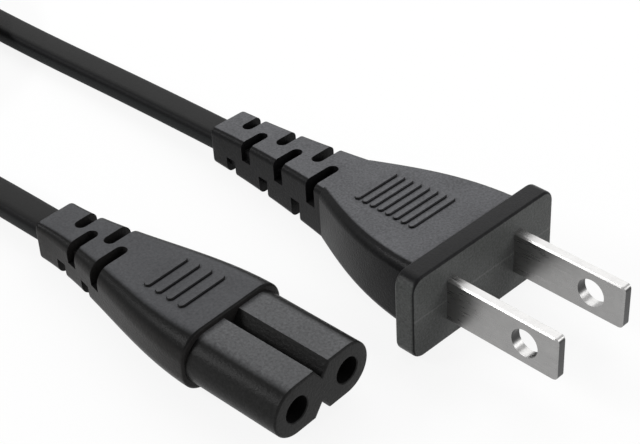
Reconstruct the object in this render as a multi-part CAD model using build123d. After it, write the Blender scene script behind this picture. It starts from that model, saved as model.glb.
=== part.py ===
from build123d import *
from math import atan, cos, degrees, radians, sin, tan
import os

# A mains lead: a moulded two-blade plug, a flat two-core cord and a figure-eight connector.
# Millimetres. +X is the way the plug points and +Z is up. The origin lies on the floor, in the
# middle of the outline that the plug and the connector share. Each moulding has its own frame:
# +X out of its front face, which is at x = 0, with the cord leaving along -X.

# Cord
cord_width = 5.0
cord_thickness = 3.0
cord_corner = 1.2
core_diameter = 2.2
core_spacing = 2.5
copper_diameter = 1.3

# Plug flange
flange_width = 26.6
flange_height = 12.4
flange_thickness = 3.0
flange_corner = 2.0
flange_edge = 0.4

# Plug body, from the flange back to the relief
body_length = 21.0
body_front_width = 20.8
body_back_width = 10.6
body_front_height = 10.6
body_back_height = 8.8
body_back_slope = 0.42
body_shoulder = 1.6

# Plug strain relief
relief_length = 24.0
relief_front_width = 10.0
relief_back_width = 6.8
relief_front_height = 8.4
relief_back_height = 6.0
relief_front_slope = 0.13
relief_shoulder = 1.0
tail_edge = 0.4

# Slots across both strain reliefs
slot_width = 1.8
slot_past_middle = 0.5
slot_skin = 0.35
slot_rail = 1.0
plug_slot_first = 2.4
plug_slot_pitch = 7.0
plug_slot_count = 3
connector_slot_first = 8.0
connector_slot_pitch = 5.7
connector_slot_count = 2

# Finger ribs
rib_height = 0.3
rib_edge = 0.1
plug_rib_first = 8.8
plug_rib_pitch = 1.4
plug_rib_count = 8
plug_rib_width = 0.85
plug_rib_front_length = 8.4
plug_rib_back_length = 7.6
connector_rib_first = 5.0
connector_rib_pitch = 2.1
connector_rib_count = 4
connector_rib_width = 1.0
connector_rib_front_length = 7.6
connector_rib_back_length = 7.0

# Blades, with a crimp barrel behind each
blade_length = 17.0
blade_height = 6.35
blade_thickness = 1.5
blade_spacing = 12.7
blade_corner = 0.7
blade_edge = 0.2
blade_hole_diameter = 3.96
blade_hole_from_face = 12.1
tang_height = 3.0
tang_gap = 0.5
crimp_length = 4.0
crimp_wall = 0.4
strip_length = 0.6

# Bridge that holds the blades inside the plug
bridge_width = 17.0
bridge_height = 7.6
bridge_thickness = 4.5
bridge_cover = 3.5

# Connector nose
nose_length = 14.5
pin_spacing = 8.6
barrel_radius = 3.7
groove_half_width = 1.25
groove_depth = 1.75
nose_edge = 0.3
nose_seat = 1.0
tongue_length = 6.5
tongue_width = 13.0
tongue_height = 5.6
tongue_corner = 1.0
bore_diameter = 3.5
bore_lead_in = 0.15

# Contacts in the nose
sleeve_bore_diameter = 2.5
sleeve_wall = 0.35
sleeve_setback = 2.5
sleeve_length = 10.0
sleeve_slit = 0.4
sleeve_neck = 0.8

# Connector grip
grip_length = 33.0
grip_front_width = 16.8
grip_back_width = 6.8
grip_front_height = 9.0
grip_back_height = 6.0
grip_front_corner = 3.6
grip_back_corner = 1.0
grip_front_edge = 0.4
grip_section_count = 7

# Where the cord's cores part inside each moulding
plug_core_straight = 2.5
plug_core_bend = 3.0
connector_core_straight = 1.5
connector_core_bend = 2.5
connector_sheath_cover = 20.5

# Coil
coil_middle_radius = 27.0
coil_column_count = 3
coil_layer_count = 3
turn_pitch = 5.5
layer_pitch = 3.2
coil_corner = 1.4
coil_slack = 0.3
tie_width = 6.0
tie_thickness = 0.6

# Places on the floor
plug_place = (15.5, 12.25)
connector_place = (15.04, -15.83)
connector_turn = 3.2
coil_place = (-106.0, -26.0)
plug_cord_straight = 8.0
connector_cord_straight = 7.5
plug_cord_points = [(-80.5, 7.15, 1.7), (-106.82, 6.49, 1.52)]
connector_cord_points = [(-66.5, -27.5, 1.7), (-80.0, -45.5, 7.2)]

body_back = -flange_thickness - body_length
plug_tail = body_back - relief_length
grip_front = -nose_length
connector_tail = grip_front - grip_length
connector_sheath_end = connector_tail + connector_sheath_cover
copper_radius = copper_diameter / 2
core_radius = core_diameter / 2
crimp_radius = copper_radius + crimp_wall


def resting(place, turn, front, front_height, tail, tail_height, clear=0.0):
    """Place of a moulding that lies level along the line from its front lower edge to its tail."""
    tilt = atan((front_height - tail_height) / 2 / (front - tail))
    lift = -tail * sin(tilt) + tail_height / 2 * cos(tilt) + clear
    return Pos(place[0], place[1], lift) * Rot(0, 0, turn) * Rot(0, -degrees(tilt), 0)


# The plug lies on its flange and tail. The connector lies on the ribs of its straight underside.
plug_frame = resting(plug_place, 0, -flange_thickness, flange_height, plug_tail, relief_back_height)
connector_frame = resting(
    connector_place, connector_turn, grip_front, grip_front_height, connector_tail, grip_back_height, rib_height
)


def at(frame, x, y=0.0, z=0.0):
    """A point of a moulding's own frame, in the part's frame."""
    return (frame * Pos(x, y, z)).position


# Cord tubes: straight runs joined by tangent arcs, each as large as its two runs allow.
def cord_path(points):
    points = [Vector(*p) for p in points]
    radii = []
    for before, corner, after in zip(points, points[1:], points[2:]):
        shorter = min((corner - before).length, (after - corner).length)
        half_turn = radians((corner - before).get_angle(after - corner)) / 2
        radii.append(0.45 * shorter / tan(half_turn))
    return FilletPolyline(*points, radius=radii), radii


def cord_tube(name, points):
    path, radii = cord_path(points)
    heading = path % 0
    start = Plane(path @ 0, x_dir=(-heading.Y, heading.X, 0), z_dir=heading)
    section = RectangleRounded(cord_width, cord_thickness, cord_corner)
    tube = sweep(start * section, path=path)
    print(name, "radii", [round(r, 1) for r in radii], "length", round(path.length, 1))
    print(name, "volume", round(tube.volume, 1), "section x length", round(section.area * path.length, 1))
    return tube


plug_route = [at(plug_frame, body_back), at(plug_frame, plug_tail - plug_cord_straight), *plug_cord_points]
connector_route = [
    at(connector_frame, connector_sheath_end),
    at(connector_frame, connector_tail - connector_cord_straight),
    *connector_cord_points,
]

# Coil: one ring of the turns' outer shape, which the two tubes run into, with a tie round it.
# The tie passes through a groove in the ring's underside, so that both rest on the floor.
coil_width = (coil_column_count - 1) * turn_pitch + cord_width + 2 * coil_slack
coil_height = (coil_layer_count - 1) * layer_pitch + cord_thickness


def coil_ring():
    section = Plane.XZ * Pos(coil_middle_radius, coil_height / 2)
    return Pos(*coil_place, 0) * revolve(section * RectangleRounded(coil_width, coil_height, coil_corner), Axis.Z)


def coil_tie():
    foot = (Align.CENTER, Align.CENTER, Align.MIN)
    outer = Box(coil_width + 2 * tie_thickness, tie_width, coil_height + tie_thickness, align=foot)
    outer = fillet(outer.edges().filter_by(Axis.Y), coil_corner)
    inner = Pos(0, 0, tie_thickness) * Box(coil_width, tie_width, coil_height - tie_thickness, align=foot)
    return Pos(coil_place[0] - coil_middle_radius, coil_place[1], 0) * (outer - inner)


ring = coil_ring()
cord_tie = coil_tie()
cord_coil = ring - cord_tie
cord_plug_side = cord_tube("cord_plug_side", plug_route) - ring
cord_connector_side = cord_tube("cord_connector_side", connector_route) - ring


# Shared forms of the two mouldings
def taper_plane(front, back, front_height, back_height):
    """Plane of a tapered top, with its own x along the slope and its zero above the middle."""
    rise = (front_height - back_height) / 2
    middle = ((front + back) / 2, 0, (front_height + back_height) / 4)
    return Plane(middle, x_dir=(front - back, 0, rise), z_dir=(-rise, 0, front - back))


def ribs(plane, middle, places, width):
    """Raised finger ribs with round ends, on the top and, turned over, on the underside."""
    rows = []
    for x, length in places:
        outline = plane.offset(-rib_height) * Pos(x - middle) * SlotOverall(length, width, rotation=90)
        rib = extrude(outline, amount=2 * rib_height)
        top = rib.faces().sort_by(Axis.Z)[-1]
        rib = chamfer(top.edges(), rib_edge)
        rows += [rib, Rot(180, 0, 0) * rib]
    return rows


def spread(first, last, count):
    """Evenly spaced values from first to last."""
    return [first + (last - first) * i / (count - 1) for i in range(count)]


def relief_slots(first, pitch, count, width, height):
    """Slots that cross a strain relief from alternate sides, on the top and the underside.

    Each ends round just past the middle. It leaves a skin over the cord and a rail at the side."""
    reach = width / 2 + slot_width
    floor = cord_thickness / 2 + slot_skin
    shoulder = cord_width / 2 + slot_skin
    length = reach + slot_past_middle
    over = Pos(0, slot_past_middle - length / 2, floor) * extrude(
        SlotOverall(length, slot_width, rotation=90), amount=height
    )
    beside = Pos(0, -shoulder, slot_rail / 2) * Box(
        slot_width, reach, height, align=(Align.CENTER, Align.MAX, Align.MIN)
    )
    near = over + beside
    cuts = []
    for i in range(count):
        x = first - i * pitch
        offset = x - pitch / 2
        cuts += [Pos(x) * near, Pos(x) * Rot(180, 0, 0) * near]
        cuts += [Pos(offset) * Rot(0, 0, 180) * near, Pos(offset) * Rot(0, 180, 0) * near]
    return cuts


def core_path(points, bend, side):
    return FilletPolyline(*[(x, side * y, 0) for x, y in points], radius=bend)


def round_sweep(path, radius):
    return sweep(Plane(path @ 0, z_dir=path % 0) * Circle(radius), path=path)


# Plug blades: flat strips with a hole near the tip, each stamped in one piece with its crimp.
tang_end = -bridge_cover - bridge_thickness - tang_gap
crimp_end = tang_end - crimp_length


def blade(side):
    plate = Pos((blade_length + tang_end) / 2) * Rectangle(blade_length - tang_end, tang_height)
    front = -bridge_cover - bridge_thickness
    plate += Pos((blade_length + front) / 2) * Rectangle(blade_length - front, blade_height)
    plate -= Pos(blade_hole_from_face) * Circle(blade_hole_diameter / 2)
    tip = plate.vertices().group_by(Axis.X)[-1]
    plate = fillet(tip, blade_corner)
    strip = extrude(Plane.XZ * plate, amount=blade_thickness / 2, both=True)
    end = strip.faces().sort_by(Axis.X)[-1]
    strip = chamfer(end.edges().filter_by(Axis.Z), blade_edge)
    barrel = Pos(crimp_end) * Rot(0, 90, 0) * Cylinder(
        crimp_radius, crimp_length + tang_gap, align=(Align.CENTER, Align.CENTER, Align.MIN)
    )
    socket = Pos(crimp_end) * Rot(0, 90, 0) * Cylinder(
        copper_radius, crimp_length, align=(Align.CENTER, Align.CENTER, Align.MIN)
    )
    return Pos(0, side * blade_spacing / 2) * (strip + barrel - socket)


def plug_core_points(end):
    half = core_spacing / 2
    outer = blade_spacing / 2
    bend_in = body_back + plug_core_straight
    bend_out = crimp_end - strip_length - plug_core_straight
    return [(body_back, half), (bend_in, half), (bend_out, outer), (end, outer)]


def plug_copper(side):
    return round_sweep(core_path(plug_core_points(tang_end), plug_core_bend, side), copper_radius)


def plug_core(side):
    insulation = round_sweep(core_path(plug_core_points(crimp_end - strip_length), plug_core_bend, side), core_radius)
    return insulation - plug_copper(side)


# Plug bridge: the stiff block that sets the blades apart before the soft moulding goes round it.
def plug_bridge(blades):
    block = Pos(-bridge_cover - bridge_thickness / 2) * Box(bridge_thickness, bridge_width, bridge_height)
    block = chamfer(block.edges().filter_by(Axis.X), blade_edge)
    return block - blades


# Plug moulding: a flange, a body that flares to it in plan, and a slotted strain relief.
def moulding(front, back, width, height, slope, shoulder):
    """A length with curved sides and a flat tapered top; each pair is front then back."""
    sides = [
        Spline(
            (back, sign * width[1] / 2),
            (front, sign * width[0] / 2),
            tangents=[(1, sign * slope[1]), (1, sign * slope[0])],
        )
        for sign in (1, -1)
    ]
    plan = make_face([*sides, Line(sides[0] @ 0, sides[1] @ 0), Line(sides[0] @ 1, sides[1] @ 1)])
    profile = make_face(
        Polyline(
            (back, -height[1] / 2),
            (front, -height[0] / 2),
            (front, height[0] / 2),
            (back, height[1] / 2),
            close=True,
        ).edges()
    )
    block = extrude(plan, amount=max(height), both=True)
    block &= extrude(Plane.XZ * profile, amount=max(width), both=True)
    long_edges = [e for e in block.edges() if e.bounding_box().size.X > (front - back) / 2]
    return fillet(long_edges, shoulder)


def plug_moulding():
    flange = Pos(-flange_thickness) * extrude(
        Plane.YZ * RectangleRounded(flange_width, flange_height, flange_corner), amount=flange_thickness
    )
    rims = flange.faces().sort_by(Axis.X)
    flange = fillet(rims[0].edges() + rims[-1].edges(), flange_edge)
    body = moulding(
        -flange_thickness,
        body_back,
        (body_front_width, body_back_width),
        (body_front_height, body_back_height),
        (0, body_back_slope),
        body_shoulder,
    )
    relief = moulding(
        body_back,
        plug_tail,
        (relief_front_width, relief_back_width),
        (relief_front_height, relief_back_height),
        (relief_front_slope, 0),
        relief_shoulder,
    )
    relief = fillet(relief.faces().sort_by(Axis.X)[0].edges(), tail_edge)
    for cut in relief_slots(
        body_back - plug_slot_first, plug_slot_pitch, plug_slot_count, relief_front_width, relief_front_height
    ):
        relief -= cut
    shell = flange + body + relief
    first = -plug_rib_first
    last = first - (plug_rib_count - 1) * plug_rib_pitch
    places = zip(
        spread(first, last, plug_rib_count),
        spread(plug_rib_front_length, plug_rib_back_length, plug_rib_count),
    )
    top = taper_plane(-flange_thickness, body_back, body_front_height, body_back_height)
    middle = (body_back - flange_thickness) / 2
    for rib in ribs(top, middle, places, plug_rib_width):
        shell += rib
    return shell


# Connector nose: two barrels side by side with a groove between them above and below, on a
# narrower tongue that the soft grip holds.
contact_neck_end = -sleeve_setback - sleeve_length - sleeve_neck
contact_end = contact_neck_end - crimp_length
sleeve_radius = sleeve_bore_diameter / 2 + sleeve_wall


def nose_outline():
    outline = Rectangle(pin_spacing, 2 * barrel_radius)
    outline += [Pos(side * pin_spacing / 2) * Circle(barrel_radius) for side in (1, -1)]
    root = barrel_radius - groove_depth
    groove = make_face(
        Polyline(
            (0, root),
            (groove_half_width, barrel_radius),
            (groove_half_width, 2 * barrel_radius),
            (-groove_half_width, 2 * barrel_radius),
            (-groove_half_width, barrel_radius),
            close=True,
        ).edges()
    )
    return outline - groove - Rot(0, 0, 180) * groove


def connector_nose():
    depth = nose_length + nose_seat
    nose = extrude(Plane.YZ * nose_outline(), amount=-depth)
    nose = fillet(nose.faces().sort_by(Axis.X)[-1].edges(), nose_edge)
    tongue = RectangleRounded(tongue_width, tongue_height, tongue_corner)
    nose += extrude(Plane.YZ.offset(-depth) * tongue, amount=-tongue_length)
    for side in (1, -1):
        bore = extrude(Plane.YZ * Circle(bore_diameter / 2), amount=contact_neck_end + sleeve_neck)
        lead_in = Pos(-bore_lead_in) * Rot(0, 90, 0) * Cone(
            bore_diameter / 2,
            bore_diameter / 2 + bore_lead_in,
            bore_lead_in,
            align=(Align.CENTER, Align.CENTER, Align.MIN),
        )
        nose -= Pos(0, side * pin_spacing / 2) * (bore + lead_in)
        nose -= contact(side)
    return nose


# Contacts: a rolled and slit sleeve that grips a pin, with its crimp behind it.
def contact(side):
    rear = contact_neck_end + sleeve_neck
    outline = Polyline(
        (-sleeve_setback, sleeve_bore_diameter / 2),
        (-sleeve_setback, sleeve_radius),
        (contact_neck_end, sleeve_radius),
        (contact_neck_end, crimp_radius),
        (contact_end, crimp_radius),
        (contact_end, copper_radius),
        (contact_neck_end, copper_radius),
        (contact_neck_end, 0),
        (rear, 0),
        (rear, sleeve_bore_diameter / 2),
        close=True,
    )
    sleeve = revolve(make_face(outline.edges()), Axis.X)
    slit = Pos(-sleeve_setback, 0, 0) * Box(
        sleeve_length, sleeve_slit, 2 * sleeve_radius, align=(Align.MAX, Align.CENTER, Align.MIN)
    )
    return Pos(0, side * pin_spacing / 2) * (sleeve - slit)


def connector_core_points(end):
    half = core_spacing / 2
    outer = pin_spacing / 2
    bend_in = connector_sheath_end + connector_core_straight
    bend_out = contact_end - strip_length - connector_core_straight
    return [(connector_sheath_end, half), (bend_in, half), (bend_out, outer), (end, outer)]


def connector_copper(side):
    path = core_path(connector_core_points(contact_neck_end), connector_core_bend, side)
    return round_sweep(path, copper_radius)


def connector_core(side):
    path = core_path(connector_core_points(contact_end - strip_length), connector_core_bend, side)
    return round_sweep(path, core_radius) - connector_copper(side)


# Connector grip: one moulding that swells from the cord to the nose, round at its edges.
def connector_grip():
    sections = []
    for t in spread(0, 1, grip_section_count):
        ease = t * t * (3 - 2 * t)
        width = grip_back_width + (grip_front_width - grip_back_width) * ease
        height = grip_back_height + (grip_front_height - grip_back_height) * t
        corner = grip_back_corner + (grip_front_corner - grip_back_corner) * t
        plane = Plane.YZ.offset(connector_tail + grip_length * t)
        sections.append(plane * RectangleRounded(width, height, corner))
    grip = loft(sections)
    ends = grip.faces().sort_by(Axis.X)
    grip = fillet(ends[-1].edges(), grip_front_edge)
    grip = fillet(grip.faces().sort_by(Axis.X)[0].edges(), tail_edge)
    slot_front = connector_tail + connector_slot_first + connector_slot_pitch
    for cut in relief_slots(
        slot_front, connector_slot_pitch, connector_slot_count, grip_front_width, grip_front_height
    ):
        grip -= cut
    first = grip_front - connector_rib_first
    last = first - (connector_rib_count - 1) * connector_rib_pitch
    places = zip(
        spread(first, last, connector_rib_count),
        spread(connector_rib_front_length, connector_rib_back_length, connector_rib_count),
    )
    top = taper_plane(grip_front, connector_tail, grip_front_height, grip_back_height)
    middle = (grip_front + connector_tail) / 2
    for rib in ribs(top, middle, places, connector_rib_width):
        grip += rib
    return grip


# Assembly: what is inside is cut out of what is moulded round it, so that the faces meet.
sides = {"left": 1, "right": -1}
blades = {name: blade(side) for name, side in sides.items()}
plug_cores = {name: plug_core(side) for name, side in sides.items()}
plug_coppers = {name: plug_copper(side) for name, side in sides.items()}
bridge = plug_bridge(list(blades.values()))
plug_inside = [bridge, *blades.values(), *plug_cores.values(), *plug_coppers.values()]
plug_body = plug_frame * (plug_moulding() - plug_inside) - cord_plug_side

contacts = {name: contact(side) for name, side in sides.items()}
connector_cores = {name: connector_core(side) for name, side in sides.items()}
connector_coppers = {name: connector_copper(side) for name, side in sides.items()}
wires = [*connector_cores.values(), *connector_coppers.values()]
nose = connector_nose() - wires
grip = connector_frame * (connector_grip() - [nose, *contacts.values(), *wires]) - cord_connector_side

nodes = {
    "plug_body": plug_body,
    "plug_bridge": plug_frame * bridge,
    "connector_grip": grip,
    "connector_nose": connector_frame * nose,
    "cord_plug_side": cord_plug_side,
    "cord_connector_side": cord_connector_side,
    "cord_coil": cord_coil,
    "cord_tie": cord_tie,
}
for name in sides:
    nodes["blade_" + name] = plug_frame * blades[name]
    nodes["plug_core_" + name] = plug_frame * plug_cores[name]
    nodes["plug_copper_" + name] = plug_frame * plug_coppers[name]
    nodes["contact_" + name] = connector_frame * contacts[name]
    nodes["connector_core_" + name] = connector_frame * connector_cores[name]
    nodes["connector_copper_" + name] = connector_frame * connector_coppers[name]

os.makedirs("parts", exist_ok=True)
for name, shape in nodes.items():
    export_step(shape, "parts/" + name + ".step")
print(len(nodes), "nodes")
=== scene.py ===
from math import cos, exp, floor, pi, radians, sin

import bmesh
import bpy
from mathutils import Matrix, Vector


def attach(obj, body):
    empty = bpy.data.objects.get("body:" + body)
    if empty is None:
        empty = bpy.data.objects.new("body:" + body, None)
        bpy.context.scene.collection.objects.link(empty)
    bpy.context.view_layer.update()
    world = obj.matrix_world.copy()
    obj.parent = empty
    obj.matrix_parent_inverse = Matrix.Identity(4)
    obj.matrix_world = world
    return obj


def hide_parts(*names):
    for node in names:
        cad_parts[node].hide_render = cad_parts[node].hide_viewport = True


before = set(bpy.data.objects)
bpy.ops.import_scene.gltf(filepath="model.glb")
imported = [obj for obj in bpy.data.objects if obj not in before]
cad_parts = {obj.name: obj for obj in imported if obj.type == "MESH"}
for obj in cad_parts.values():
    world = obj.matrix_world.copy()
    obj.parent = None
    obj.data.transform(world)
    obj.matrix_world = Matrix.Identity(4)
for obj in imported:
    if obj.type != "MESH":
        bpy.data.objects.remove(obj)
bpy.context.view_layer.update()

# Camera: it stands to the right and in front of the two ends and looks down on them, so that both
# point past it. The cord leaves the picture at the left edge.
camera_place = (0.103207, -0.103362, 0.131008)
looked_at = Vector((-0.011864, 0.010323, 0.0))
camera_data = bpy.data.cameras.new("camera")
camera_data.sensor_width = 36.0
camera_data.lens = 85.57
camera_data.clip_start = 0.01
camera = bpy.data.objects.new("camera", camera_data)
camera.location = camera_place
camera.rotation_euler = (looked_at - camera.location).to_track_quat("-Z", "Y").to_euler()
bpy.context.collection.objects.link(camera)
bpy.context.scene.camera = camera
bpy.context.scene.view_settings.view_transform = "Standard"

# Free cord: a flat black sheath extruded over two cores. It leaves each moulding straight, lies
# along the table, and its spare length is wound into a coil up to three turns wide and three high.
# Its line is one spline that follows the points of the route, and the sheath's section follows it.
sheath_width = 0.005
sheath_thickness = 0.003
sheath_corner = 0.0012
corner_steps = 5
from_plug = [
    (-0.00844, 0.01225, 0.004695),
    (-0.040359, 0.0118, 0.002425),
    (-0.0805, 0.0074, 0.0017),
    (-0.10682, 0.00649, 0.00152),
]
to_connector = [
    (-0.08, -0.0455, 0.0072),
    (-0.0665, -0.0275, 0.0017),
    (-0.0535, -0.0199, 0.0021),
    (-0.039818, -0.018897, 0.002956),
    (-0.01189, -0.017336, 0.004228),
]
coil_middle = Vector((-0.106, -0.026))
coil_radius = 0.027
turn_pitch = 0.0055
layer_pitch = 0.0032
coil_steps = 122
coil_turns = 7.6435
coil_start = radians(91.44)
# The places that the cord takes in the coil, one after the other, each as column from the outside
# and layer from the table, and the turn counts at which it starts to cross to the next place.
turn_places = ((0, 0), (0, 1), (1, 1), (1, 0), (2, 0), (2, 1), (2, 2), (1, 2), (0, 2))
crossings = (0.80, 1.45, 2.32, 3.18, 4.05, 4.91, 5.78, 6.65)
crossing_turns = 0.13
tie_thickness = 0.0006
tie_reach = radians(14)


def coil_point(step):
    """Place of one point of the coil; the steps run from the plug's end to the connector's."""
    turned = coil_turns * step / coil_steps
    angle = coil_start + 2 * pi * turned
    crossed = sum(min(max((turned - start) / crossing_turns, 0), 1) for start in crossings)
    passed = min(floor(crossed), len(turn_places) - 2)
    share = crossed - passed
    column, layer = (
        before + (after - before) * share
        for before, after in zip(turn_places[passed], turn_places[passed + 1])
    )
    radius = coil_radius + turn_pitch * (1 - column)
    # The spline cuts the corners between its points, so they lie a little further out.
    radius /= cos(pi * coil_turns / coil_steps)
    # The tie is at half a turn. Where it passes under the cord, the cord lies on it.
    off_tie = angle % (2 * pi) - pi
    lift = tie_thickness * (1 - layer / 2) * exp(-((off_tie / tie_reach) ** 2))
    return (
        coil_middle.x + radius * cos(angle),
        coil_middle.y + radius * sin(angle),
        sheath_thickness / 2 + layer_pitch * layer + lift,
    )


cord_points = from_plug + [coil_point(step) for step in range(1, coil_steps)] + to_connector
cord_curve = bpy.data.curves.new("cord_line", "CURVE")
cord_curve.dimensions = "3D"
cord_curve.twist_mode = "Z_UP"
cord_curve.resolution_u = 6
cord_spline = cord_curve.splines.new("NURBS")
cord_spline.points.add(len(cord_points) - 1)
for point, place in zip(cord_spline.points, cord_points):
    point.co = (*place, 1.0)
cord_spline.order_u = 3
cord_spline.use_endpoint_u = True
cord = bpy.data.objects.new("flat_cord", cord_curve)
bpy.context.collection.objects.link(cord)
bpy.context.view_layer.update()
line_mesh = bpy.data.meshes.new_from_object(cord)
bpy.data.meshes.remove(line_mesh)

section_points = []
for quarter, (side_x, side_y) in enumerate(((1, 1), (-1, 1), (-1, -1), (1, -1))):
    for step in range(corner_steps + 1):
        turn = (quarter + step / corner_steps) * pi / 2
        x = side_x * (sheath_width / 2 - sheath_corner) + sheath_corner * cos(turn)
        y = side_y * (sheath_thickness / 2 - sheath_corner) + sheath_corner * sin(turn)
        section_points.append((x, y, 0.0, 1.0))
section_curve = bpy.data.curves.new("sheath_section", "CURVE")
section_curve.dimensions = "2D"
section_spline = section_curve.splines.new("POLY")
section_spline.points.add(len(section_points) - 1)
for point, place in zip(section_spline.points, section_points):
    point.co = place
section_spline.use_cyclic_u = True
section = bpy.data.objects.new("sheath_section", section_curve)
bpy.context.collection.objects.link(section)
cord_curve.bevel_mode = "OBJECT"
cord_curve.bevel_object = section
cord_curve.use_fill_caps = True

bpy.ops.object.select_all(action="DESELECT")
cord.select_set(True)
bpy.context.view_layer.objects.active = cord
bpy.ops.object.convert(target="MESH")
bpy.ops.object.mode_set(mode="EDIT")
bpy.ops.mesh.select_all(action="SELECT")
bpy.ops.mesh.normals_make_consistent(inside=False)
bpy.ops.object.mode_set(mode="OBJECT")
bpy.ops.object.shade_smooth_by_angle(angle=radians(40))
bpy.data.objects.remove(section)


def feed(link, value, socket):
    """Gives a socket another node's output, or a number or colour of its own."""
    if isinstance(value, bpy.types.NodeSocket):
        link(value, socket)
    else:
        socket.default_value = value


def reckoned(nodes, link, operation, *values):
    """The result of one sum on numbers or other nodes' outputs."""
    node = nodes.new("ShaderNodeMath")
    node.operation = operation
    for socket, value in zip(node.inputs, values):
        feed(link, value, socket)
    return node.outputs[0]


def mapped(nodes, link, value, low, high, start=0.0, end=1.0):
    """A smooth step of a value from start, where it is at low, to end, where it is at high."""
    node = nodes.new("ShaderNodeMapRange")
    node.interpolation_type = "SMOOTHSTEP"
    link(value, node.inputs["Value"])
    limits = {"From Min": low, "From Max": high, "To Min": start, "To Max": end}
    for socket, limit in limits.items():
        feed(link, limit, node.inputs[socket])
    return node.outputs["Result"]


def surface_grain():
    """Fine grain of a moulded or extruded surface, as a height and as a change of shade."""
    cloud_size = 180.0
    cloud_share = 0.3
    # Both noises are one half on average, and the shade is 1 there.
    average = 0.5 + cloud_share * 0.5
    group = bpy.data.node_groups.new("surface_grain", "ShaderNodeTree")
    group.interface.new_socket("Vector", in_out="INPUT", socket_type="NodeSocketVector")
    group.interface.new_socket("Grains per metre", in_out="INPUT", socket_type="NodeSocketFloat")
    group.interface.new_socket("Strength", in_out="INPUT", socket_type="NodeSocketFloat")
    group.interface.new_socket("Height", in_out="OUTPUT", socket_type="NodeSocketFloat")
    group.interface.new_socket("Shade", in_out="OUTPUT", socket_type="NodeSocketFloat")
    nodes, link = group.nodes, group.links.new
    given = nodes.new("NodeGroupInput").outputs
    result = nodes.new("NodeGroupOutput").inputs
    grains = nodes.new("ShaderNodeTexNoise")
    grains.inputs["Detail"].default_value = 3.0
    grains.inputs["Roughness"].default_value = 0.65
    link(given["Vector"], grains.inputs["Vector"])
    link(given["Grains per metre"], grains.inputs["Scale"])
    clouds = nodes.new("ShaderNodeTexNoise")
    clouds.inputs["Scale"].default_value = cloud_size
    clouds.inputs["Detail"].default_value = 2.0
    link(given["Vector"], clouds.inputs["Vector"])
    both = reckoned(
        nodes, link, "MULTIPLY_ADD", clouds.outputs["Fac"], cloud_share, grains.outputs["Fac"]
    )
    centred = reckoned(nodes, link, "SUBTRACT", both, average)
    shade = reckoned(nodes, link, "MULTIPLY_ADD", centred, given["Strength"], 1.0)
    link(grains.outputs["Fac"], result["Height"])
    link(shade, result["Shade"])
    return group


grain_group = surface_grain()


def new_material(name):
    """An empty material with its shader; returns the material, its nodes, link and the shader."""
    material = bpy.data.materials.new(name)
    material.use_nodes = True
    nodes = material.node_tree.nodes
    return material, nodes, material.node_tree.links.new, nodes["Principled BSDF"]


def grained(nodes, link, vector, grains, strength):
    """The grain's height and shade, with so many grains per metre."""
    node = nodes.new("ShaderNodeGroup")
    node.node_tree = grain_group
    node.inputs["Grains per metre"].default_value = grains
    node.inputs["Strength"].default_value = strength
    link(vector, node.inputs["Vector"])
    return node.outputs["Height"], node.outputs["Shade"]


def mixed(nodes, link, share, first, second):
    """A colour between two; each is three numbers or another node's colour."""
    node = nodes.new("ShaderNodeMix")
    node.data_type = "RGBA"
    link(share, node.inputs["Factor"])
    for socket, colour in ((node.inputs[6], first), (node.inputs[7], second)):
        feed(link, (*colour, 1.0) if isinstance(colour, tuple) else colour, socket)
    return node.outputs[2]


def coloured(nodes, link, shader, colour, shade):
    """Gives the shader a colour made lighter and darker by a shade around 1."""
    node = nodes.new("ShaderNodeVectorMath")
    node.operation = "SCALE"
    link(colour, node.inputs[0])
    link(shade, node.inputs["Scale"])
    link(node.outputs[0], shader.inputs["Base Color"])


def bumped(nodes, link, shader, height, distance):
    """Lets a height stand out of the surface by up to a distance."""
    node = nodes.new("ShaderNodeBump")
    node.inputs["Distance"].default_value = distance
    link(height, node.inputs["Height"])
    link(node.outputs["Normal"], shader.inputs["Normal"])


def cord_sheath():
    """Satin black, with painted light on the flats and upright sides and painted shade on the
    rounded edges.
    """
    round_shade_black = (0.008, 0.008, 0.0085)
    flat_lit_black = (0.0200, 0.0200, 0.0200)
    side_painted_black = (0.016, 0.0172, 0.0176)
    material, nodes, link, shader = new_material("cord_sheath")
    place = nodes.new("ShaderNodeTexCoord")
    facing = nodes.new("ShaderNodeSeparateXYZ")
    link(place.outputs["Normal"], facing.inputs[0])
    upright = reckoned(nodes, link, "ABSOLUTE", facing.outputs["Z"])
    # Painted light and shade by the way the surface faces: dark rounded edges, greyer flats and
    # sides.
    lit_flat = mapped(nodes, link, upright, low=0.80, high=0.97)
    side = mapped(nodes, link, upright, low=0.45, high=0.15)
    colour = mixed(nodes, link, lit_flat, round_shade_black, flat_lit_black)
    colour = mixed(nodes, link, side, colour, side_painted_black)
    height, shade = grained(nodes, link, place.outputs["Object"], grains=2500.0, strength=0.35)
    coloured(nodes, link, shader, colour, shade)
    rough = mapped(nodes, link, height, low=0.3, high=0.7, start=0.42, end=0.52)
    link(rough, shader.inputs["Roughness"])
    shader.inputs["Specular IOR Level"].default_value = 0.05
    bumped(nodes, link, shader, height, distance=0.00002)
    return material


cord.data.materials.clear()
cord.data.materials.append(cord_sheath())
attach(cord, "root")
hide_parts("cord_plug_side", "cord_connector_side", "cord_coil")

# Table and light: a white table, a large soft lamp above and behind, one at the right for the
# faces that point there, and a narrow one at the left that draws the edges.
paper_white = (0.97, 0.97, 0.97, 1.0)
plain_white = (1.0, 1.0, 1.0, 1.0)
table_glow_share = 0.88
table_width = 3.0
table_drop = 0.00005
room_light = 0.28
# Each lamp has a name, a place, a width, a height and a power in watts, and points at the middle.
lamps = (
    ("lamp_above", (-0.17, 0.21, 0.34), 0.46, 0.46, 1.25),
    ("lamp_right", (0.34, 0.22, 0.22), 0.20, 0.20, 0.50),
    ("lamp_edges", (-0.42, -0.47, 0.40), 0.40, 0.04, 2.4),
)


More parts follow.
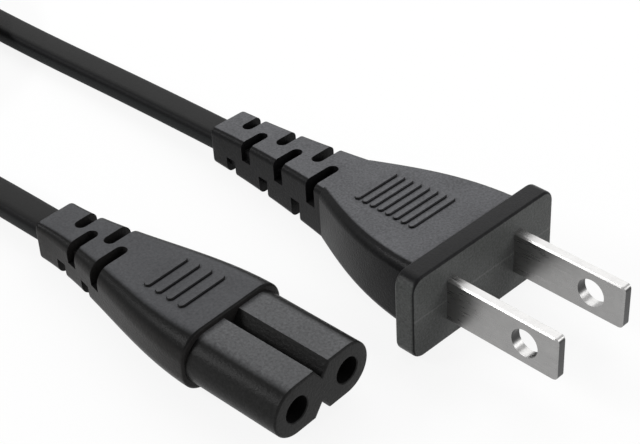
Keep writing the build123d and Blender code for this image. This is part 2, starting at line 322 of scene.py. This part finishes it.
def seen_white(nodes, link):
    """1 for rays that show the background: from the camera, off gloss and through glass."""
    ray = nodes.new("ShaderNodeLightPath").outputs
    seen = reckoned(nodes, link, "MAXIMUM", ray["Is Camera Ray"], ray["Is Glossy Ray"])
    return reckoned(nodes, link, "MAXIMUM", seen, ray["Is Transmission Ray"])


def table_paper():
    """White paper that also glows, but only for the rays that show the background."""
    material, nodes, link, shader = new_material("table_paper")
    shader.inputs["Base Color"].default_value = paper_white
    shader.inputs["Roughness"].default_value = 0.9
    shader.inputs["Specular IOR Level"].default_value = 0.0
    glow = nodes.new("ShaderNodeEmission")
    glow.inputs["Color"].default_value = plain_white
    blend = nodes.new("ShaderNodeMixShader")
    share = reckoned(nodes, link, "MULTIPLY", seen_white(nodes, link), table_glow_share)
    link(share, blend.inputs["Fac"])
    link(shader.outputs[0], blend.inputs[1])
    link(glow.outputs[0], blend.inputs[2])
    link(blend.outputs[0], nodes["Material Output"].inputs["Surface"])
    return material


bpy.ops.object.select_all(action="DESELECT")
# The table's top lies a hair below the cord, so that the two never share a plane.
bpy.ops.mesh.primitive_plane_add(size=table_width, location=(0.0, 0.0, -table_drop))
bpy.ops.object.transform_apply(location=True)
table = bpy.context.active_object
table.name = "table"
table.data.materials.append(table_paper())

world = bpy.data.worlds.new("studio")
bpy.context.scene.world = world
world.use_nodes = True
nodes, link = world.node_tree.nodes, world.node_tree.links.new
light = nodes.new("ShaderNodeMapRange")
light.inputs["To Min"].default_value = room_light
light.inputs["To Max"].default_value = 1.0
link(seen_white(nodes, link), light.inputs["Value"])
link(light.outputs["Result"], nodes["Background"].inputs["Strength"])
nodes["Background"].inputs["Color"].default_value = plain_white

for name, place, width, height, power in lamps:
    lamp_data = bpy.data.lights.new(name, "AREA")
    lamp_data.shape = "RECTANGLE"
    lamp_data.size = width
    lamp_data.size_y = height
    lamp_data.energy = power
    lamp = bpy.data.objects.new(name, lamp_data)
    lamp.location = place
    lamp.rotation_euler = (-lamp.location).to_track_quat("-Z", "Y").to_euler()
    bpy.context.collection.objects.link(lamp)

# Tie: a black woven strap with a looped face, 6 mm wide. It goes once round all the turns of the
# coil, and its end lies back over itself on top, pressed on.
strap_width = 0.006
strap_x = coil_middle.x - coil_radius
strap_half = turn_pitch + sheath_width / 2 + tie_thickness
strap_bottom = tie_thickness / 2
strap_top = 2 * layer_pitch + sheath_thickness + tie_thickness / 2
strap_lap = strap_top + tie_thickness
strap_corner = 0.0014
strap_corner_steps = 4
under_end = -0.003
climb_start = -0.0052
climb_height = 0.0001
over_places = (-0.0034, 0.001, 0.0052)
# The strap's line seen from its edge, as distance from its middle and height: the under end, the
# four corners, and then the over end, which climbs on to the under end and lies on it.
strap_line = [(under_end, strap_top)]
corner_half = strap_half - strap_corner
corner_top = strap_top - strap_corner
corner_bottom = strap_bottom + strap_corner
for quarter, (centre_x, centre_z) in enumerate(
    (
        (corner_half, corner_top),
        (corner_half, corner_bottom),
        (-corner_half, corner_bottom),
        (-corner_half, corner_top),
    )
):
    for step in range(strap_corner_steps + 1):
        turn = pi / 2 - (quarter + step / strap_corner_steps) * pi / 2
        strap_line.append(
            (centre_x + strap_corner * cos(turn), centre_z + strap_corner * sin(turn))
        )
strap_line.append((climb_start, strap_top + climb_height))
strap_line += [(x, strap_lap) for x in over_places]

bpy.ops.object.select_all(action="DESELECT")
bpy.ops.mesh.primitive_plane_add(size=strap_width, location=(0.0, 0.0, 0.0))
strap = bpy.context.active_object
strap.name = "coil_strap"
bpy.ops.object.mode_set(mode="EDIT")
bpy.ops.mesh.select_all(action="DESELECT")
strap_mesh = bmesh.from_edit_mesh(strap.data)
for edge in strap_mesh.edges:
    if all(vertex.co.x > 0 for vertex in edge.verts):
        edge.select_set(True)
for vertex in strap_mesh.verts:
    x, z = strap_line[1] if vertex.co.x > 0 else strap_line[0]
    vertex.co = (strap_x + x, coil_middle.y + vertex.co.y, z)
bmesh.update_edit_mesh(strap.data)
for (x, z), (next_x, next_z) in zip(strap_line[1:], strap_line[2:]):
    bpy.ops.mesh.extrude_region_move(
        TRANSFORM_OT_translate={"value": (next_x - x, 0.0, next_z - z)}
    )
bpy.ops.mesh.select_all(action="SELECT")
bpy.ops.mesh.remove_doubles(threshold=0.00001)
bpy.ops.object.mode_set(mode="OBJECT")
pressed = strap.modifiers.new("pressed thickness", "SOLIDIFY")
pressed.thickness = tie_thickness * 0.9
pressed.offset = 0.0
bpy.ops.object.modifier_apply(modifier=pressed.name)
soft_edge = strap.modifiers.new("soft edge", "BEVEL")
soft_edge.width = 0.0001
soft_edge.segments = 2
soft_edge.limit_method = "ANGLE"
soft_edge.angle_limit = radians(50)
bpy.ops.object.modifier_apply(modifier=soft_edge.name)
bpy.ops.object.shade_smooth_by_angle(angle=radians(40))


def strap_weave():
    """Black threads that cross, with painted light where both stand up and painted shade in the
    hollows.
    """
    hollow_shade_black = (0.010, 0.010, 0.011)
    thread_lit_black = (0.034, 0.034, 0.036)
    material, nodes, link, shader = new_material("strap_weave")
    place = nodes.new("ShaderNodeTexCoord").outputs["Object"]
    threads = []
    for direction in ("X", "Y"):
        wave = nodes.new("ShaderNodeTexWave")
        wave.bands_direction = direction
        wave.inputs["Scale"].default_value = 700.0
        wave.inputs["Distortion"].default_value = 1.5
        wave.inputs["Detail Scale"].default_value = 2.0
        link(place, wave.inputs["Vector"])
        threads.append(wave.outputs["Fac"])
    weave = reckoned(nodes, link, "MULTIPLY", *threads)
    # The weave's hollows get painted shade and its raised crossings painted light; the same weave
    # gives the bumps.
    colour = mixed(nodes, link, weave, hollow_shade_black, thread_lit_black)
    _, shade = grained(nodes, link, place, grains=4000.0, strength=0.8)
    coloured(nodes, link, shader, colour, shade)
    shader.inputs["Roughness"].default_value = 0.85
    shader.inputs["Specular IOR Level"].default_value = 0.2
    bumped(nodes, link, shader, weave, distance=0.0001)
    return material


strap.data.materials.append(strap_weave())
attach(strap, "root")
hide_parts("cord_tie")

# Plug moulding: flange, body and slotted strain relief in one piece of soft black PVC, injected
# round the blades and the cord. The tool's faces are spark-eroded on the top, underside and
# front, which leaves them grained, and smoother round the sides. Their grey against the near
# black sides is painted light and shade.
# The plug's own frame: it starts in the middle of the flange's front, its X runs along the
# blades, and it is tilted as the plug rests on the table.
plug_origin = (0.0155, 0.01225, 0.006397)
plug_turn = (0.0, radians(-4.0676), 0.0)
# The slots' floors and the flats beside them, as distances from the middle plane.
slot_floor = 0.0023
slot_rim = 0.0027


def smooth_copy(node, name, smooth_angle):
    """A welded copy of a CAD solid, shaded smooth, that stands for it."""
    bpy.ops.object.select_all(action="DESELECT")
    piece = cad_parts[node].copy()
    piece.data = piece.data.copy()
    piece.name = name
    piece.parent = None
    bpy.context.collection.objects.link(piece)
    piece.select_set(True)
    bpy.context.view_layer.objects.active = piece
    bpy.ops.object.mode_set(mode="EDIT")
    bpy.ops.mesh.customdata_custom_splitnormals_clear()
    bpy.ops.mesh.select_all(action="SELECT")
    bpy.ops.mesh.remove_doubles(threshold=0.000001)
    bpy.ops.object.mode_set(mode="OBJECT")
    bpy.ops.object.shade_smooth_by_angle(angle=smooth_angle)
    piece.data.materials.clear()
    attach(piece, "root")
    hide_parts(node)
    return piece


def own_place(nodes, link, origin, turn):
    """Place in a moulding's own frame, whole and as X, Y and Z, and the way the surface faces."""
    coordinates = nodes.new("ShaderNodeTexCoord")
    vectors = []
    parts = []
    for source, move in (("Object", origin), ("Normal", (0.0, 0.0, 0.0))):
        mapping = nodes.new("ShaderNodeMapping")
        mapping.vector_type = "TEXTURE"
        mapping.inputs["Location"].default_value = move
        mapping.inputs["Rotation"].default_value = turn
        link(coordinates.outputs[source], mapping.inputs["Vector"])
        split = nodes.new("ShaderNodeSeparateXYZ")
        link(mapping.outputs["Vector"], split.inputs[0])
        vectors.append(mapping.outputs["Vector"])
        parts.append(split.outputs)
    return vectors[0], parts[0], parts[1]


def rib_crease_shade():
    """A mask of painted shade in the crease along both sides of each finger rib; the row runs along
    the moulding.
    """
    crease_reach = 0.00012
    crease_core = 0.00004
    group = bpy.data.node_groups.new("rib_crease_shade", "ShaderNodeTree")
    for name in (
        "Along",
        "Across",
        "Row middle",
        "Half row",
        "Half pitch",
        "Half gap",
        "Rib end",
        "Rib end rounding",
    ):
        group.interface.new_socket(name, in_out="INPUT", socket_type="NodeSocketFloat")
    group.interface.new_socket("Crease shade", in_out="OUTPUT", socket_type="NodeSocketFloat")
    nodes, link = group.nodes, group.links.new
    given = nodes.new("NodeGroupInput").outputs
    result = nodes.new("NodeGroupOutput").inputs
    off_middle = reckoned(nodes, link, "SUBTRACT", given["Along"], given["Row middle"])
    off_middle = reckoned(nodes, link, "ABSOLUTE", off_middle)
    # From the middle of one gap, this rises to the middle of the next rib and falls again.
    off_gap = reckoned(nodes, link, "PINGPONG", off_middle, given["Half pitch"])
    off_edge = reckoned(nodes, link, "SUBTRACT", off_gap, given["Half gap"])
    off_edge = reckoned(nodes, link, "ABSOLUTE", off_edge)
    shade_in_crease = mapped(nodes, link, off_edge, low=crease_reach, high=crease_core)
    in_row = reckoned(nodes, link, "LESS_THAN", off_middle, given["Half row"])
    off_axis = reckoned(nodes, link, "ABSOLUTE", given["Across"])
    straight = reckoned(nodes, link, "SUBTRACT", given["Rib end"], given["Rib end rounding"])
    in_length = mapped(nodes, link, off_axis, low=given["Rib end"], high=straight)
    shade_in_crease = reckoned(nodes, link, "MULTIPLY", shade_in_crease, in_row)
    shade_in_crease = reckoned(nodes, link, "MULTIPLY", shade_in_crease, in_length)
    link(shade_in_crease, result["Crease shade"])
    return group


crease_shade_group = rib_crease_shade()


def crease_shade_row(nodes, link, place, first, pitch, count, width, length):
    """The painted shade in the creases of one row of an even count of ribs, from the place of the
    first one.
    """
    node = nodes.new("ShaderNodeGroup")
    node.node_tree = crease_shade_group
    node.inputs["Row middle"].default_value = first - (count - 1) * pitch / 2
    node.inputs["Half row"].default_value = count * pitch / 2
    node.inputs["Half pitch"].default_value = pitch / 2
    node.inputs["Half gap"].default_value = (pitch - width) / 2
    node.inputs["Rib end"].default_value = length / 2
    node.inputs["Rib end rounding"].default_value = width / 2
    link(place["X"], node.inputs["Along"])
    link(place["Y"], node.inputs["Across"])
    return node.outputs["Crease shade"]


def plug_pvc():
    """Near black with painted shade round the sides, and grey with painted light and grain on the
    top, underside, front and ends.
    """
    side_painted_black = (0.0095, 0.0095, 0.010)
    top_lit_grey = (0.105, 0.106, 0.112)
    crease_shade_black = (0.030, 0.030, 0.032)
    front_lit_grey = (0.086, 0.089, 0.087)
    end_lit_grey = (0.085, 0.088, 0.086)
    seam_grey = (0.118, 0.121, 0.119)
    material, nodes, link, shader = new_material("plug_pvc")
    vector, place, facing = own_place(nodes, link, plug_origin, plug_turn)
    along = place["X"]
    off_middle = reckoned(nodes, link, "ABSOLUTE", place["Z"])
    upright = reckoned(nodes, link, "ABSOLUTE", facing["Z"])
    sideways = reckoned(nodes, link, "ABSOLUTE", facing["Y"])
    # The flats of the top and underside get painted light, but not the floors of the slots and the
    # 3 mm flange, which stay black with painted shade.
    lit_grained_top = mapped(nodes, link, upright, low=0.92, high=0.985)
    above_slots = mapped(nodes, link, off_middle, low=slot_floor, high=slot_rim)
    lit_grained_top = reckoned(nodes, link, "MULTIPLY", lit_grained_top, above_slots)
    behind_flange = mapped(nodes, link, along, low=-0.0029, high=-0.0031)
    lit_grained_top = reckoned(nodes, link, "MULTIPLY", lit_grained_top, behind_flange)
    colour = mixed(nodes, link, lit_grained_top, side_painted_black, top_lit_grey)
    # Painted shade in the creases at the feet of the finger ribs.
    crease_shade = crease_shade_row(
        nodes, link, place, first=-0.0088, pitch=0.0014, count=8, width=0.00085, length=0.0080
    )
    colour = mixed(nodes, link, crease_shade, colour, crease_shade_black)
    # The flange's front and its two ends are grained too, and grey with painted light.
    lit_front = mapped(nodes, link, facing["X"], low=0.90, high=0.99)
    at_front = mapped(nodes, link, along, low=-0.0008, high=-0.0004)
    lit_front = reckoned(nodes, link, "MULTIPLY", lit_front, at_front)
    colour = mixed(nodes, link, lit_front, colour, front_lit_grey)
    end = mapped(nodes, link, sideways, low=0.55, high=0.95)
    on_flange = mapped(nodes, link, along, low=-0.0029, high=-0.0027)
    end = reckoned(nodes, link, "MULTIPLY", end, on_flange)
    colour = mixed(nodes, link, end, colour, end_lit_grey)
    # The two halves of the tool meet at mid height and leave a faint line on the front.
    seam = mapped(nodes, link, off_middle, low=0.00022, high=0.00008)
    seam = reckoned(nodes, link, "MULTIPLY", seam, lit_front)
    colour = mixed(nodes, link, seam, colour, seam_grey)
    height, shade = grained(nodes, link, vector, grains=3100.0, strength=1.4)
    coloured(nodes, link, shader, colour, shade)
    rough = mapped(nodes, link, lit_grained_top, low=0.0, high=1.0, start=0.30, end=0.58)
    link(rough, shader.inputs["Roughness"])
    shader.inputs["Specular IOR Level"].default_value = 0.06
    bumped(nodes, link, shader, height, distance=0.00004)
    return material


plug_moulding = smooth_copy("plug_body", "plug_moulding", radians(28))
plug_moulding.data.materials.append(plug_pvc())

# Plug blades: brass strip, stamped with the hole and rounded at the tip, then nickel plated and
# brushed along its length. Each is one piece with the crimp behind it.


def plated_strip():
    """Nickel with the streaks of the brush, and painted shade on the faces at the tip that point
    forward.
    """
    dull_nickel = (0.29, 0.287, 0.284)
    bright_nickel = (0.37, 0.367, 0.363)
    tip_shade_grey = (0.06, 0.06, 0.06)
    # The grain is stretched along the blade into the streaks of the brush.
    streak_stretch = 0.06
    material, nodes, link, shader = new_material("plated_strip")
    vector, _, facing = own_place(nodes, link, plug_origin, plug_turn)
    stretched = nodes.new("ShaderNodeMapping")
    stretched.inputs["Scale"].default_value = (streak_stretch, 1.0, 1.0)
    link(vector, stretched.inputs["Vector"])
    streaks, shade = grained(
        nodes, link, stretched.outputs["Vector"], grains=6000.0, strength=0.25
    )
    spots, _ = grained(nodes, link, vector, grains=900.0, strength=0.2)
    colour = mixed(nodes, link, spots, dull_nickel, bright_nickel)
    # The tip's forward faces are darker with painted shade.
    shaded_tip = mapped(nodes, link, facing["X"], low=0.7, high=0.95)
    colour = mixed(nodes, link, shaded_tip, colour, tip_shade_grey)
    coloured(nodes, link, shader, colour, shade)
    shader.inputs["Metallic"].default_value = 1.0
    rough = mapped(nodes, link, streaks, low=0.3, high=0.7, start=0.26, end=0.38)
    link(rough, shader.inputs["Roughness"])
    bumped(nodes, link, shader, streaks, distance=0.000003)
    return material


plating = plated_strip()
for side in ("left", "right"):
    blade = smooth_copy("blade_" + side, "plug_blade_" + side, radians(30))
    rounded = blade.modifiers.new("rounded edge", "BEVEL")
    rounded.width = 0.00012
    rounded.segments = 2
    rounded.limit_method = "ANGLE"
    rounded.angle_limit = radians(50)
    rounded.use_clamp_overlap = True
    bpy.ops.object.modifier_apply(modifier=rounded.name)
    bpy.ops.object.shade_smooth_by_angle(angle=radians(35))
    blade.data.materials.append(plating)

# Bridge, cores and strands, all hidden in the mouldings: the bridge is stiff pale plastic moulded
# round the blades, each core is copper strands in its own insulation, one white and one black.
bridge_grey = (0.35, 0.34, 0.32)
core_white = (0.70, 0.70, 0.68)
core_black = (0.025, 0.025, 0.025)


def plain_moulded(name, colour, rough, strength):
    """A smooth plastic of one colour, up to about a seventh lighter where its grain is high."""
    lighter = tuple(part * 1.15 for part in colour)
    material, nodes, link, shader = new_material(name)
    place = nodes.new("ShaderNodeTexCoord").outputs["Object"]
    height, shade = grained(nodes, link, place, grains=1500.0, strength=strength)
    coloured(nodes, link, shader, mixed(nodes, link, height, colour, lighter), shade)
    shader.inputs["Roughness"].default_value = rough
    bumped(nodes, link, shader, height, distance=0.00001)
    return material


def stranded_copper():
    """Bare copper with a fine slanting wave for its strands."""
    dark_copper = (0.45, 0.20, 0.12)
    bright_copper = (0.83, 0.45, 0.30)
    material, nodes, link, shader = new_material("stranded_copper")
    place = nodes.new("ShaderNodeTexCoord").outputs["Object"]
    strands = nodes.new("ShaderNodeTexWave")
    strands.bands_direction = "DIAGONAL"
    strands.inputs["Scale"].default_value = 900.0
    link(place, strands.inputs["Vector"])
    strand = strands.outputs["Fac"]
    link(mixed(nodes, link, strand, dark_copper, bright_copper), shader.inputs["Base Color"])
    shader.inputs["Metallic"].default_value = 1.0
    shader.inputs["Roughness"].default_value = 0.3
    bumped(nodes, link, shader, strand, distance=0.00005)
    return material


inner_finish = {"plug_bridge": plain_moulded("bridge_plastic", bridge_grey, 0.5, 0.2)}
white_insulation = plain_moulded("white_insulation", core_white, 0.35, 0.1)
black_insulation = plain_moulded("black_insulation", core_black, 0.35, 0.3)
copper_strands = stranded_copper()
for end in ("plug", "connector"):
    inner_finish[end + "_core_left"] = white_insulation
    inner_finish[end + "_core_right"] = black_insulation
    inner_finish[end + "_copper_left"] = copper_strands
    inner_finish[end + "_copper_right"] = copper_strands
for node, finish in inner_finish.items():
    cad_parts[node].material_slots[0].material = finish

# Connector grip: soft black PVC moulded round the nose's tongue and the cord, darker and smoother
# than the plug's top, with four raised ribs for the finger and a slotted strain relief.
# The connector's own frame starts in the middle of the nose's front, tilted and turned as it lies.
connector_origin = (0.01504, -0.01583, 0.0054538)
connector_turn = (0.0, radians(-2.6026), radians(3.2))


def grip_pvc():
    """Dark grey with painted light on the top and underside, near black with painted shade round
    the corners, and less dark on the sides.
    """
    corner_shade_black = (0.0070, 0.0070, 0.0070)
    side_painted_black = (0.0200, 0.0192, 0.0188)
    top_lit_grey = (0.070, 0.071, 0.075)
    crease_shade_black = (0.016, 0.016, 0.017)
    material, nodes, link, shader = new_material("grip_pvc")
    vector, place, facing = own_place(nodes, link, connector_origin, connector_turn)
    upright = reckoned(nodes, link, "ABSOLUTE", facing["Z"])
    # Painted light and shade by the way the surface faces: grey top and underside, near black
    # corners, less dark sides.
    side = mapped(nodes, link, upright, low=0.65, high=0.35)
    colour = mixed(nodes, link, side, corner_shade_black, side_painted_black)
    lit_grained_top = mapped(nodes, link, upright, low=0.90, high=0.99)
    off_middle = reckoned(nodes, link, "ABSOLUTE", place["Z"])
    above_slots = mapped(nodes, link, off_middle, low=slot_floor, high=slot_rim)
    lit_grained_top = reckoned(nodes, link, "MULTIPLY", lit_grained_top, above_slots)
    colour = mixed(nodes, link, lit_grained_top, colour, top_lit_grey)
    # Painted shade in the creases at the feet of the finger ribs.
    crease_shade = crease_shade_row(
        nodes, link, place, first=-0.0195, pitch=0.0021, count=4, width=0.001, length=0.0072
    )
    colour = mixed(nodes, link, crease_shade, colour, crease_shade_black)
    height, shade = grained(nodes, link, vector, grains=2900.0, strength=1.0)
    coloured(nodes, link, shader, colour, shade)
    rough = mapped(nodes, link, lit_grained_top, low=0.0, high=1.0, start=0.32, end=0.5)
    link(rough, shader.inputs["Roughness"])
    shader.inputs["Specular IOR Level"].default_value = 0.06
    bumped(nodes, link, shader, height, distance=0.00004)
    return material


connector_moulding = smooth_copy("connector_grip", "connector_moulding", radians(28))
connector_moulding.data.materials.append(grip_pvc())

# Connector nose: stiff black thermoplastic, two barrels with a groove between them above and
# below, moulded first and pushed on to the contacts. Its flats carry a fine speckle.
pin_spacing = 0.0086
hole_radius = 0.00175


def nose_plastic():
    """Near black, grey with painted light on the speckled flats, painted shade on the corners, and
    darkest inside the holes.
    """
    corner_shade_black = (0.0075, 0.0075, 0.0075)
    side_painted_black = (0.0150, 0.0150, 0.0148)
    flat_lit_grey = (0.086, 0.087, 0.090)
    hole_black = (0.002, 0.002, 0.002)
    material, nodes, link, shader = new_material("nose_plastic")
    vector, place, facing = own_place(nodes, link, connector_origin, connector_turn)
    upright = reckoned(nodes, link, "ABSOLUTE", facing["Z"])
    # Painted light and shade by the way the surface faces: grey flats, near black corners and less
    # dark sides.
    side = mapped(nodes, link, upright, low=0.75, high=0.45)
    colour = mixed(nodes, link, side, corner_shade_black, side_painted_black)
    lit_flat = mapped(nodes, link, upright, low=0.90, high=0.998)
    colour = mixed(nodes, link, lit_flat, colour, flat_lit_grey)
    # Inside the two holes hardly any light comes back.
    off_middle = reckoned(nodes, link, "ABSOLUTE", place["Y"])
    off_axis = nodes.new("ShaderNodeCombineXYZ")
    link(reckoned(nodes, link, "SUBTRACT", off_middle, pin_spacing / 2), off_axis.inputs["X"])
    link(place["Z"], off_axis.inputs["Y"])
    distance = nodes.new("ShaderNodeVectorMath")
    distance.operation = "LENGTH"
    link(off_axis.outputs[0], distance.inputs[0])
    distance = distance.outputs["Value"]
    hole = mapped(nodes, link, distance, low=hole_radius * 1.02, high=hole_radius * 1.01)
    colour = mixed(nodes, link, hole, colour, hole_black)
    height, shade = grained(nodes, link, vector, grains=2700.0, strength=1.6)
    coloured(nodes, link, shader, colour, shade)
    rough = mapped(nodes, link, hole, low=0.0, high=1.0, start=0.36, end=0.9)
    link(rough, shader.inputs["Roughness"])
    shader.inputs["Specular IOR Level"].default_value = 0.08
    bumped(nodes, link, shader, height, distance=0.00004)
    return material


connector_nose = smooth_copy("connector_nose", "connector_barrels", radians(28))
connector_nose.data.materials.append(nose_plastic())

# Contacts: brass sleeves rolled from strip, slit along the top so that they spring on the pins,
# each crimped on its strands. They stand back in the nose's holes.


def rolled_brass():
    """Dull brass, a little mottled."""
    dull_brass = (0.22, 0.16, 0.07)
    bright_brass = (0.34, 0.26, 0.13)
    material, nodes, link, shader = new_material("rolled_brass")
    place = nodes.new("ShaderNodeTexCoord").outputs["Object"]
    height, shade = grained(nodes, link, place, grains=3000.0, strength=0.3)
    coloured(nodes, link, shader, mixed(nodes, link, height, dull_brass, bright_brass), shade)
    shader.inputs["Metallic"].default_value = 1.0
    rough = mapped(nodes, link, height, low=0.3, high=0.7, start=0.42, end=0.55)
    link(rough, shader.inputs["Roughness"])
    bumped(nodes, link, shader, height, distance=0.00001)
    return material


brass = rolled_brass()
for side in ("left", "right"):
    sleeve = smooth_copy("contact_" + side, "contact_sleeve_" + side, radians(30))
    sleeve.data.materials.append(brass)
